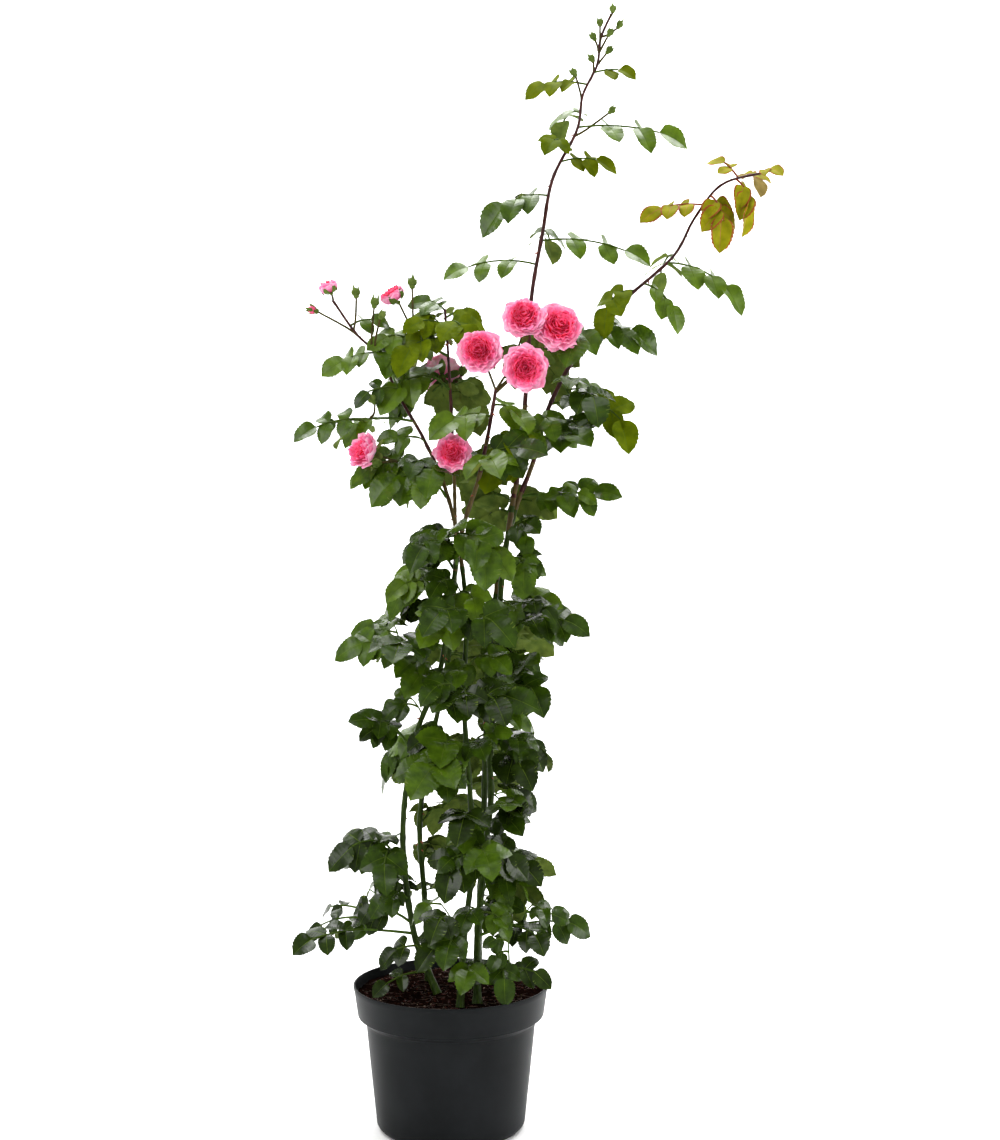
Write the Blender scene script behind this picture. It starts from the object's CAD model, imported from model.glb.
"""A climbing rose in its nursery pot, built in millimetres and put in the frame in metres.

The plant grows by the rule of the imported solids: the same limbs, shoots and leaves from the
same seeds, carried on to finer twigs within the reach of each mass of foliage.
"""

import math

import bpy
import numpy as np
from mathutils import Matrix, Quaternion, Vector
from mathutils.bvhtree import BVHTree


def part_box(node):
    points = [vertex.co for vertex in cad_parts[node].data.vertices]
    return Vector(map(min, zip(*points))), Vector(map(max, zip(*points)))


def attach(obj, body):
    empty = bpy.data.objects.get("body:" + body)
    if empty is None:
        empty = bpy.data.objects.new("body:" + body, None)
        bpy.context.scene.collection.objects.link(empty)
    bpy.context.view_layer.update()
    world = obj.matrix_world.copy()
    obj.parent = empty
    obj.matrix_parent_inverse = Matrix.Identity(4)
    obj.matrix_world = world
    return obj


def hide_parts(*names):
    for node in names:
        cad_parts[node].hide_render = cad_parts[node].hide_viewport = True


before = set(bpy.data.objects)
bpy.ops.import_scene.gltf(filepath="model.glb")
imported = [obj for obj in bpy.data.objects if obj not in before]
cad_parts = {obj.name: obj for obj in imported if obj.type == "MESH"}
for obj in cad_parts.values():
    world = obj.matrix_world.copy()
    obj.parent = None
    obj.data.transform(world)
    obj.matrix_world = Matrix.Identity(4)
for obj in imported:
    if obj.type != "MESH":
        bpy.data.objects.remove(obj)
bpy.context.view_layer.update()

# ---------------------------------------------------------------- pot
# A round nursery pot of polypropylene, injection moulded in one piece: a tapered body with a
# broad collar to lift it by, a rounded corner at the foot and eight drain slots in it.

MM = 0.001
POT_HEIGHT, POT_RIM = 190, 130
COLLAR_FOOT, COLLAR_FOOT_RADIUS = 150, 124
BODY_TOP, BODY_TOP_RADIUS = 141, 113
FOOT_RADIUS, CORNER = 99, 11
WALL, FLOOR = 2.6, 3.6
GROOVE_FROM, GROOVE_TO, GROOVE = 60, 85, 0.8  # a shallow ring let into the underside
AXIS = 2  # a turned form closes round its axis at this radius
DRAIN_SLOTS, SLOT_WIDTH, SLOT_HEIGHT, SLOT_FROM, SLOT_TO = 8, 15, 5, 82, FOOT_RADIUS + 5
POT_SIDES = 160
SQUARE = np.array([[-1, -1], [1, -1], [1, 1], [-1, 1]])


def linear(hex_colour):
    """An sRGB hex colour as the linear RGBA that a shader takes."""
    parts = [int(hex_colour[i : i + 2], 16) / 255 for i in (1, 3, 5)]
    return [p / 12.92 if p <= 0.04045 else ((p + 0.055) / 1.055) ** 2.4 for p in parts] + [1.0]


def new_material(name, **sockets):
    """A material whose shader has these constants on its own sockets."""
    material = bpy.data.materials.new(name)
    material.use_nodes = True
    shader = material.node_tree.nodes["Principled BSDF"]
    for socket, value in sockets.items():
        shader.inputs[socket.replace("_", " ")].default_value = value
    return material


def add(material, kind, inputs, to=None, stops=()):
    """Adds a node. An input is a value or a node; to is the shader's socket that it feeds."""
    tree = material.node_tree
    node = tree.nodes.new("ShaderNode" + kind)
    for name, value in inputs.items():
        if isinstance(value, bpy.types.Node):
            value = value.outputs[0]
        if isinstance(value, bpy.types.NodeSocket):
            tree.links.new(value, node.inputs[name])
        else:
            node.inputs[name].default_value = value
    for i, (place, colour) in enumerate(stops):
        ramp = node.color_ramp.elements
        stop = ramp[i] if i < 2 else ramp.new(place)
        stop.position, stop.color = place, linear(colour)
    if to:
        tree.links.new(node.outputs[0], tree.nodes["Principled BSDF"].inputs[to])
    return node


def per_metre(size_mm):
    """A pattern's scale for features of this size."""
    return 1 / (size_mm * MM)


def mottled(name, size_mm, detail, stops, **sockets):
    """A material whose colour wanders between the stops in patches of this size, and the patches."""
    material = new_material(name, **sockets)
    place = add(material, "TexCoord", {}).outputs["Object"]
    patches = add(material, "TexNoise", {"Vector": place, "Scale": per_metre(size_mm), "Detail": detail})
    add(material, "ValToRGB", {"Fac": patches}, "Base Color", stops)
    return material, patches


def skin(rings):
    """A closed body through rings of points, anticlockwise seen from the end; sides are even."""
    count, sides, _ = rings.shape
    ids = np.arange(count * sides).reshape(count, sides)
    nxt = np.roll(ids, -1, axis=1)
    walls = np.stack([ids[:-1], nxt[:-1], nxt[1:], ids[1:]], axis=-1).reshape(-1, 4)
    fan = np.array([[0, k, k + 1, k + 2] for k in range(1, sides - 2, 2)])
    return rings.reshape(-1, 3), np.concatenate([walls, ids[0][fan][:, ::-1], ids[-1][fan]])


def turns_of(sides):
    """The angles of this many corners, spaced evenly all round."""
    return np.arange(sides) / sides * math.tau


def around(radius, turn, height):
    """Points at these distances and angles round +Z."""
    return np.stack(np.broadcast_arrays(radius * np.cos(turn), radius * np.sin(turn), height), axis=-1)


def turned(profile, sides):
    """Rings of a profile of (radius, height) turned round +Z."""
    radius, height = np.array(profile, float).T[:, :, None]
    return around(radius, turns_of(sides), height)


def arc(centre, radius, start, end, count):
    """Points of an outline on a part of a circle, from one angle to another."""
    turns = np.linspace(start, end, count)
    return [(centre[0] + radius * math.cos(turn), centre[1] + radius * math.sin(turn)) for turn in turns]


def mesh_of(name, points, faces, finishes=0, crease=50):
    """A smooth mesh from arrays of points, four-cornered faces and their material numbers."""
    mesh = bpy.data.meshes.new(name)
    mesh.vertices.add(len(points))
    mesh.vertices.foreach_set("co", (np.asarray(points, np.float32) * MM).ravel())
    mesh.loops.add(faces.size)
    mesh.loops.foreach_set("vertex_index", faces.astype(np.int32).ravel())
    mesh.polygons.add(len(faces))
    mesh.polygons.foreach_set("loop_start", np.arange(0, faces.size, 4, dtype=np.int32))
    finishes = np.broadcast_to(finishes, len(faces)).astype(np.int32)
    mesh.polygons.foreach_set("material_index", finishes)
    mesh.update(calc_edges=True)
    mesh.shade_smooth()
    mesh.set_sharp_from_angle(angle=math.radians(crease))
    return mesh


def placed(name, data):
    """An object of the scene with this data."""
    thing = bpy.data.objects.new(name, data)
    bpy.context.scene.collection.objects.link(thing)
    return thing


def put(name, mesh, slot, nodes, materials):
    """Adds a finished mesh to the plant, in place of the nodes."""
    piece = placed(name, mesh)
    for material in materials:
        mesh.materials.append(material)
    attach(piece, "root")
    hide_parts(*nodes)
    return piece


# From the middle of the underside up the outside, over the rim and down the inside.
pot_profile = [
    (AXIS, 0), (GROOVE_FROM, 0), (GROOVE_FROM + 2, GROOVE), (GROOVE_TO - 1, GROOVE), (GROOVE_TO, 0),
    *arc((FOOT_RADIUS - CORNER, CORNER), CORNER, -math.pi / 2, 0, 9),
    (FOOT_RADIUS + 6.5, 70), (BODY_TOP_RADIUS - 0.9, BODY_TOP - 7),
    (BODY_TOP_RADIUS - 0.4, BODY_TOP - 4), (BODY_TOP_RADIUS, BODY_TOP), (BODY_TOP_RADIUS + 1, BODY_TOP + 1.6),
    (COLLAR_FOOT_RADIUS - 2.5, COLLAR_FOOT - 1.4), (COLLAR_FOOT_RADIUS - 0.6, COLLAR_FOOT - 0.3),
    (COLLAR_FOOT_RADIUS, COLLAR_FOOT + 1.2), (POT_RIM - 1.6, POT_HEIGHT - 8), (POT_RIM - 1.1, POT_HEIGHT - 7),
    *arc((POT_RIM - WALL / 2, POT_HEIGHT - WALL / 2), WALL / 2, 0, math.pi, 9),
    (COLLAR_FOOT_RADIUS - WALL, COLLAR_FOOT), (BODY_TOP_RADIUS - WALL, BODY_TOP),
    (FOOT_RADIUS - WALL, CORNER), (FOOT_RADIUS - CORNER, FLOOR), (AXIS, FLOOR),
]
pot_mesh = mesh_of("pot_shell", *skin(turned(pot_profile, POT_SIDES)), crease=35)


class Heap:
    """Gathers parts that are joined into one mesh."""

    def __init__(self):
        self.points, self.faces, self.finishes, self.total = [], [], [], 0

    def add(self, points, faces, finish=0):
        self.points.append(points)
        self.faces.append(faces + self.total)
        self.finishes.append(np.broadcast_to(finish, len(faces)))
        self.total += len(points)

    def mesh(self, name, crease=50):
        gathered = [np.concatenate(part) for part in (self.points, self.faces, self.finishes)]
        return mesh_of(name, *gathered, crease=crease)


slots = Heap()
for i in range(DRAIN_SLOTS):
    turn = (i + 0.5) / DRAIN_SLOTS * 2 * math.pi
    cos, sin = math.cos(turn), math.sin(turn)
    ring = SQUARE * [SLOT_WIDTH / 2, SLOT_HEIGHT]
    box = np.array([[[depth, y, z] for y, z in ring] for depth in (SLOT_FROM, SLOT_TO)])
    slots.add(*skin(box @ np.array([[cos, sin, 0], [-sin, cos, 0], [0, 0, 1]])))
cutter = placed("slot_cutter", slots.mesh("slot_cutter"))

# Polypropylene with a fine spark-eroded texture: satin, so that it takes a broad dull light
# on its side and never a sharp one. Anthracite, a little lighter where hands have rubbed it.
polypropylene, rubbing = mottled("anthracite_polypropylene", 70, 4, [(0.3, "#141617"), (0.75, "#1c1e20")],
                                 Roughness=0.42, IOR=1.49, Specular_IOR_Level=0.05)
add(polypropylene, "MapRange", {"Value": rubbing, "To Min": 0.36, "To Max": 0.5}, "Roughness")
place = add(polypropylene, "TexCoord", {}).outputs["Object"]
texture = add(polypropylene, "TexNoise", {"Vector": place, "Scale": per_metre(0.9), "Detail": 2})
add(polypropylene, "Bump", {"Height": texture, "Strength": 0.25, "Distance": 0.1 * MM}, "Normal")

pot = put("pot_shell", pot_mesh, "pot", ["pot"], [polypropylene])
cut = pot.modifiers.new("slots", "BOOLEAN")
cut.operation, cut.solver, cut.object = "DIFFERENCE", "EXACT", cutter
finished_pot = pot.evaluated_get(bpy.context.evaluated_depsgraph_get())
with_slots = bpy.data.meshes.new_from_object(finished_pot)
pot.modifiers.clear()
pot.data = with_slots
bpy.data.objects.remove(cutter)

# ---------------------------------------------------------------- compost
# Peat, composted bark and wood fibre, poured loose and watered in: a crumbly dark surface a
# finger below the rim, with chips of bark, wood fibres and a little grit lying in it.

COMPOST_LEVEL, COMPOST_EDGE, COMPOST_FOOT = 180, 177, COLLAR_FOOT + 3
COLLAR_SLOPE = (POT_RIM - COLLAR_FOOT_RADIUS) / (POT_HEIGHT - COLLAR_FOOT)
COMPOST_GAP = 0.8  # between the compost and the pot's wall
COMPOST_REACH = POT_RIM - WALL - (POT_HEIGHT - COMPOST_EDGE) * COLLAR_SLOPE - COMPOST_GAP
LEVEL_REACH = 100  # the surface sinks beyond this, towards the wall
HUMP, HUMP_SIZE, CRUMB, CRUMB_SIZE, SETTLED = 1.6, 34, 1.1, 7, 0.6
COMPOST_RINGS, COMPOST_SIDES = 92, 320
FOOT_SHARE, CLOSED_SHARE = 0.97, 0.02  # of the reach, at the compost's foot and where that closes
CHIPS = (520, 1.6, 6.5, 0.35)  # number, least size, greatest size, thickness for its size
GRAINS = (46, 1, 2.2, 0.8)
FIBRES, FIBRE_LENGTH, FIBRE_RADIUS = 300, (5, 16), (0.15, 0.4)
CHIP_CORNERS, CHIP_WIDTHS, CHIP_TILT, FIBRE_BEND = (0.55, 1), (0.4, 1), (0, 0.9), (-0.9, 0.9)
CHIP_REACH, FIBRE_REACH = 118, 116
PALE_CHIPS = 0.05  # the share of chips that are as pale as grit
ANY_TURN = (0, 6.28)  # radians, for a direction or a phase that is drawn
WAVES = 7
rng = np.random.default_rng(11)


def waves(points, size, seed, octaves=4):
    """Smooth noise from -1 to 1 at points: sums of sines that run all ways."""
    draw = np.random.default_rng(seed)
    total = np.zeros(points.shape[:-1])
    for octave in range(octaves):
        for _ in range(WAVES):
            way = draw.normal(size=points.shape[-1])
            way *= 2 * math.pi * 2**octave / (size * np.linalg.norm(way))
            total += np.sin(points @ way + draw.uniform(*ANY_TURN)) / (WAVES**0.5 * 1.6**octave)
    return np.clip(total, -2, 2) / 2


def on_compost(radius, turn):
    """Points of the compost's surface at these distances and angles round the pot's axis."""
    points = around(radius, turn, 0.0)
    spot = points[..., :2].copy()
    edge = np.clip((radius - LEVEL_REACH) / (COMPOST_REACH - LEVEL_REACH), 0, 1)
    humps = HUMP * waves(spot, HUMP_SIZE, 1) + CRUMB * np.abs(waves(spot, CRUMB_SIZE, 2)) - SETTLED
    points[..., 2] = COMPOST_LEVEL + (COMPOST_EDGE - COMPOST_LEVEL) * edge + humps
    return points


surface = on_compost(np.linspace(COMPOST_REACH, 1, COMPOST_RINGS)[:, None], turns_of(COMPOST_SIDES))
foot = surface[:1] * [FOOT_SHARE, FOOT_SHARE, 0] + [0, 0, COMPOST_FOOT]
compost = Heap()
compost.add(*skin(np.concatenate([foot * [CLOSED_SHARE, CLOSED_SHARE, 1], foot, surface])))


def scattered(count, reach):
    """Places on the compost, even over its area."""
    radius = reach * np.sqrt(rng.uniform(0, 1, count))
    return on_compost(radius, rng.uniform(0, 2 * math.pi, count))


block = np.array([[x, y, z] for z in (-1, 1) for x, y in SQUARE], float)
for finish, (count, low, high, flat) in ((1, CHIPS), (2, GRAINS)):
    for centre in scattered(count, CHIP_REACH):
        size = rng.uniform(*CHIP_CORNERS, (8, 3)) * rng.uniform(low, high) / 2
        size *= [1, rng.uniform(*CHIP_WIDTHS), flat]
        tilt = Quaternion(Vector(rng.normal(size=3)), rng.uniform(*CHIP_TILT)).to_matrix()
        spin = Quaternion((0, 0, 1), rng.uniform(*ANY_TURN)).to_matrix()
        corners = (block * size) @ np.array(tilt @ spin).T + centre
        is_pale = finish == 1 and rng.uniform() < PALE_CHIPS
        compost.add(*skin(corners.reshape(2, 4, 3)), finish + is_pale)


def tube(line, radii, sides, across=(0.3, 0.9, 0.1)):
    """A round bar along a line of points, closed at both ends; the line never runs across."""
    line = np.asarray(line, float)
    along = np.gradient(line, axis=0)
    along /= np.linalg.norm(along, axis=1, keepdims=True)
    side = np.array(across) - along * (along @ np.array(across))[:, None]
    side /= np.linalg.norm(side, axis=1, keepdims=True)
    other = np.cross(along, side)
    turn = turns_of(sides)[:, None]
    radii = np.asarray(radii, float)
    radii = radii[:, None, None] if radii.ndim == 1 else radii[:, :, None]
    return skin(line[:, None] + (side[:, None] * np.cos(turn) + other[:, None] * np.sin(turn)) * radii)


steps = np.linspace(-0.5, 0.5, 5)
for centre in scattered(FIBRES, FIBRE_REACH):
    way = rng.uniform(*ANY_TURN)
    length = rng.uniform(*FIBRE_LENGTH)
    bend = rng.uniform(*FIBRE_BEND)
    line = centre + around(length * steps, way + bend * steps, 1 + 2 * steps**2)
    compost.add(*tube(line, np.full(len(steps), rng.uniform(*FIBRE_RADIUS)), 4, (0, 0, 1)), 3)

# Wet peat is nearly black and matt; the chips of bark are red-brown, the few grains of grit
# are a pale brown, and the fibres are a dark straw.
compost_materials = []
for name, size, roughness, specular, stops in (
    ("moist_peat", 5, 0.95, 0, [(0.35, "#080403"), (0.6, "#160b08"), (0.8, "#26140d")]),
    ("composted_bark", 3, 0.8, 0.05, [(0.3, "#1c0c09"), (0.7, "#3e1e16")]),
    ("pale_grit", 2, 0.9, 0.5, [(0.3, "#58463c"), (0.7, "#826e5e")]),
    ("wood_fibre", 3, 0.8, 0.5, [(0.3, "#24170f"), (0.7, "#453122")]),
):
    material, crumbs = mottled(name, size, 6, stops, Roughness=roughness, Specular_IOR_Level=specular)
    add(material, "Bump", {"Height": crumbs, "Strength": 0.7, "Distance": 1.2 * MM}, "Normal")
    compost_materials.append(material)
put("compost_surface", compost.mesh("compost_surface", 180), "compost", ["compost"], compost_materials)

# ---------------------------------------------------------------- canes and boughs
# Five canes of living wood rise from the compost and fork into thinner boughs. Young rose
# bark is smooth and green, swollen at each old leaf scar, and turns dark red in the sun.

# Each limb: places along it from the compost up, the one at which its cane turns to a bough,
# and its radius at the foot and at the tip.
LIMBS = {
    "left": ([
        (-17, -22, 180), (-48, 0, 250), (-63, 0, 353), (-61, -10, 434), (-44, -20, 526), (-14, -30, 606),
        (1, -35, 701), (16, -35, 792), (37, -40, 858), (51, -48, 923), (60, -52, 975),
    ], 7, 4.2, 2.2),
    "front": ([
        (14, -84, 180), (20, -66, 273), (30, -52, 362), (26, -47, 453), (18, -42, 570), (21, -27, 674),
        (12, -16, 767), (-7, -5, 847), (-36, 0, 914), (-69, 0, 971), (-95, 0, 1024), (-127, 0, 1056),
        (-158, 0, 1100),
    ], 7, 4, 1.1),
    "right": ([
        (36, -70, 180), (36, -38, 261), (43, -10, 341), (53, 10, 431), (52, 15, 498), (60, 18, 605),
        (68, 15, 727), (81, 10, 820), (94, 10, 901), (102, 15, 1009), (108, 15, 1108), (123, 5, 1195),
        (136, 0, 1263), (168, 0, 1327), (176, 0, 1374), (195, 0, 1414), (200, 0, 1450), (214, 0, 1482),
    ], 8, 4.6, 0.9),
    "back": ([
        (35, 45, 180), (38, 55, 288), (43, 60, 397), (46, 55, 507), (50, 50, 617), (63, 45, 726),
        (86, 37, 821), (111, 28, 888), (132, 15, 961), (176, 2, 1040), (232, -5, 1100), (296, 0, 1158),
        (326, 2, 1211), (362, 2, 1255), (418, 0, 1271),
    ], 7, 4.6, 1.1),
    "rear": ([
        (-32, 45, 180), (-38, 60, 287), (-45, 65, 396), (-28, 60, 506), (-6, 50, 617), (4, 40, 726),
        (4, 35, 835), (0, 30, 943), (-5, 25, 1037), (-9, 22, 1092),
    ], 7, 4, 1.4),
}
FLARE_WIDTH, FLARE_HEIGHT = 1.8, 16
SCAR_GAP, SCAR_SWELL, SCAR_LENGTH = 46, 0.16, 4.5
LIMB_SIDES, RING_GAP = 16, 2.6
TAPER, THIN_END = 1.4, 1.75
BARK_ROUND, BARK_ALONG = 4, 0.5  # the relief is that of a bar this thick and this much shorter
SWELLS, PIMPLES = (0.07, 9), (0.03, 2.2)  # how much of the radius, and how far apart
BRONZE_FROM, RED_FROM, AGE_DRIFT, AGE_PATCH = 0.74, 0.9, 0.12, 60  # metres up, then millimetres


def on_curve(points, share):
    """Places on the smooth curve through the points, at shares from 0 to 1 of their number."""
    points = np.array(points, float)
    points = np.vstack([2 * points[0] - points[1], points, 2 * points[-1] - points[-2]])
    spot = np.clip(np.asarray(share) * (len(points) - 3), 0, len(points) - 3 - 1e-9)
    first = spot.astype(int)
    t = (spot - first)[:, None]
    p0, p1, p2, p3 = (points[first + k] for k in range(4))
    m1, m2 = (p2 - p0) / 2, (p3 - p1) / 2
    return p1 + m1 * t + (3 * (p2 - p1) - 2 * m1 - m2) * t**2 + (2 * (p1 - p2) + m1 + m2) * t**3


# Bark in three ages. Green bark has faint pale streaks along it; it turns through bronze to
# the purple-red of the boughs. All of it is smooth and a little glossy, like waxed wood.
barks = []
for name, roughness, specular, stops in (
    ("green_cane_bark", 0.45, 0.12, [(0.3, "#1d2c08"), (0.6, "#2e4010"), (0.8, "#4a5424")]),
    ("bronze_cane_bark", 0.45, 0.25, [(0.3, "#3a2c14"), (0.7, "#5e4f26")]),
    ("red_bough_bark", 0.4, 0.25, [(0.3, "#26100f"), (0.6, "#401b18"), (0.85, "#5c2f27")]),
):
    bark = new_material(name, Roughness=roughness, IOR=1.45, Specular_IOR_Level=specular)
    place = add(bark, "TexCoord", {}).outputs["Object"]
    drawn_out = add(bark, "Mapping", {"Vector": place, "Scale": (1, 1, 0.12)})
    streaks = add(bark, "TexNoise", {"Vector": drawn_out, "Scale": per_metre(3), "Detail": 4})
    add(bark, "ValToRGB", {"Fac": streaks}, "Base Color", stops)
    add(bark, "Bump", {"Height": streaks, "Strength": 0.35, "Distance": 0.4 * MM}, "Normal")
    barks.append(bark)


def limb_part(points, foot, tip, start, end, seed):
    """Rings of bark from one share of a limb to another, with its scars and small bumps."""
    rough_length = np.linalg.norm(np.diff(np.array(points, float), axis=0), axis=1).sum() * (end - start)
    share = np.linspace(start, end, int(rough_length / RING_GAP))
    line = on_curve(points, share)
    walked = np.concatenate([[0], np.cumsum(np.linalg.norm(np.diff(line, axis=0), axis=1))])
    flare = FLARE_WIDTH * np.exp((COMPOST_LEVEL - line[:, 2]) / FLARE_HEIGHT)
    radius = np.maximum(foot + (tip - foot) * share**TAPER + flare, THIN_END)
    scar = np.abs((walked + 13 * seed) % SCAR_GAP - SCAR_GAP / 2)
    radius = radius * (1 + SCAR_SWELL * np.exp(-((scar / SCAR_LENGTH) ** 2)))
    bar = around(BARK_ROUND, turns_of(LIMB_SIDES), walked[:, None] * BARK_ALONG)
    (swell, swell_size), (pimple, pimple_size) = SWELLS, PIMPLES
    relief = 1 + swell * waves(bar, swell_size, seed) + pimple * waves(bar, pimple_size, seed + 50, 2)
    points, faces = tube(line, radius[:, None] * relief, LIMB_SIDES)
    drift = waves(np.stack([walked, walked * 0], axis=-1), AGE_PATCH, seed + 9)
    return points, faces, np.repeat((line[:, 2] * MM + AGE_DRIFT * drift)[:-1], LIMB_SIDES)


for number, (name, (points, fork, foot, tip)) in enumerate(LIMBS.items()):
    share = fork / (len(points) - 1)
    for part, start, end in (("cane", 0, share), ("bough", share, 1)):
        mesh_points, faces, age = limb_part(points, foot, tip, start, end, number + 3)
        age = np.concatenate([age, np.full(len(faces) - len(age), age[-1])])
        finish = (age > BRONZE_FROM).astype(int) + (age > RED_FROM)
        mesh = mesh_of(f"{part}_{name}_bark", mesh_points, faces, finish)
        put(f"{part}_{name}_bark", mesh, part, [f"{part}_{name}"], barks)

# ---------------------------------------------------------------- growth rule
# How the plant puts out shoots, twigs and compound leaves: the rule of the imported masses,
# with the same seeds, carried on to finer twigs. Directions are an azimuth and a rise.

UP = np.array([0.0, 0.0, 1.0])
CLEAR = 0.3  # between a limb and the shoots that set out from it
FULLNESS, STALK_FULLNESS = 1.06, 1.2  # of the real leaflets beside the rule's
SIDE_SHARE = 0.88  # of the end leaflet's length
SIDE_DRAWS = ((58, 74), (6, 32), (-16, 16), (0.9, 1.06))  # spread, hang, twist, size
FRONT, BEHIND = 270, 90  # the azimuths that leaves turn their upper sides to
LIGHT_RISE, OUTWARD = 30, 0.25  # the light that a blade turns to: its rise, and how far outward it is
BLADE_TURN = 26  # the most that a blade turns
TURNS = (0, 25, -25, 50, -50, 75, -75, 100, -100)  # that a leaf tries where it meets something
SHOOT_RISE, SHOOT_DROOP = 62, 20
HABIT = ((5, 40), (25, 70))  # rise and droop of a leaf's stalk
LEVEL_HABIT = ((4, 14), (12, 34))
TIP_ROLL, ROLL, SPLAY, SIZES = 35, (35, 75), (45, 80), (0.88, 1.12)
TIP_SEED, SIDE_SEED, TWIG_SEED, FINER_SEED = 1000, 2000, 9000, 7000
PAIRS_AT, LONE_PAIR_AT, LOWER_PAIR_SIZE = (0.36, 0.74), (0.6,), 0.86
FIVE_FROM = 30  # leaves with end leaflets of at least this length have five leaflets
END_TURN, END_DROP, END_TWIST = (-14, 14), (0, 28), (-16, 16)

# Leaves: height on the limb, azimuth, rise, droop, stalk, leaflet, pairs. Flowers: kind,
# height on the limb (not on side shoots), place, azimuth, rise, size and how far open.
TOP_BUD = 6.8
TIP_MASSES = {
    "bloom_cluster": ("left", [(940, 200, 20, 50, 40, 42, 1), (955, 20, 10, 60, 35, 44, 1)], [
        ("bloom", 974, (39, -80, 1022), 262, 8, 30, 1), ("bloom", 970, (98, -92, 998), 272, -8, 31, 1),
        ("bloom", 974, (96, -70, 1067), 262, 25, 30, 1), ("bloom", 974, (141, -66, 1055), 285, 18, 34, 1),
    ]),
    "bud_spray_left": ("front", [
        (1030, 195, 0, 30, 35, 36, 1), (1036, 350, -10, 50, 30, 34, 1), (1066, 20, 40, 40, 25, 26, 1),
    ], [
        ("bud", 1050, (-184, 0, 1087), 180, 20, 8.5, 1), ("bud", 1060, (-127, 0, 1110), 120, 75, 8.5, 0),
        ("bud", 1036, (-101, -10, 1095), 60, 75, 8.5, 0), ("bud", 1030, (-91, -15, 1078), 350, 60, 7, 0),
        ("bloom", 1099, (-163, 0, 1116), 190, 65, 14, 0.3),
    ]),
    "tip_top": ("right", [
        (1150, 182, 15, 35, 78, 34, 2), (1181, 358, 8, 30, 95, 37, 2), (1190, 80, 30, 50, 60, 36, 1),
        (1240, 184, 10, 45, 50, 46, 1), (1285, 6, 20, 30, 40, 30, 1), (1300, 250, 25, 50, 45, 30, 1),
        (1331, 2, 8, 22, 92, 40, 2), (1350, 110, 30, 50, 50, 32, 1), (1388, 176, 15, 25, 48, 30, 1),
        (1404, 355, 15, 20, 28, 26, 1),
    ], [("bud", *row, TOP_BUD, 0) for row in (
        (1478, (216, 0, 1489), 90, 70), (1440, (199, 3, 1472), 90, 70), (1452, (225, 0, 1468), 0, 60),
        (1430, (212, -4, 1456), 0, 60), (1430, (190, 0, 1452), 180, 60), (1412, (211, 0, 1434), 0, 50),
        (1400, (188, 4, 1424), 150, 60), (1360, (164, 0, 1404), 180, 60), (1318, (215, 4, 1355), 10, 45),
    )]),
    "tip_right": ("back", [
        (1112, 184, 5, 70, 45, 36, 1), (1122, 340, -20, 40, 40, 34, 1), (1150, 356, 0, 45, 70, 40, 2),
        (1160, 100, 20, 60, 55, 36, 1), (1228, 186, 5, 20, 48, 34, 1), (1240, 300, -30, 50, 34, 42, 1),
        (1262, 340, -40, 40, 30, 44, 1), (1263, 150, 60, 20, 26, 26, 1), (1266, 60, 30, 40, 34, 30, 1),
        (1270, 8, 25, 20, 12, 24, 1),
    ], []),
    "tip_rear": ("rear", [
        (1052, 192, 5, 40, 50, 44, 1), (1062, 95, 20, 50, 60, 46, 1), (1072, 300, 15, 50, 35, 42, 1),
        (1080, 15, 30, 30, 50, 38, 1), (1090, 160, 50, 30, 20, 32, 1),
    ], []),
}

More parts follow.
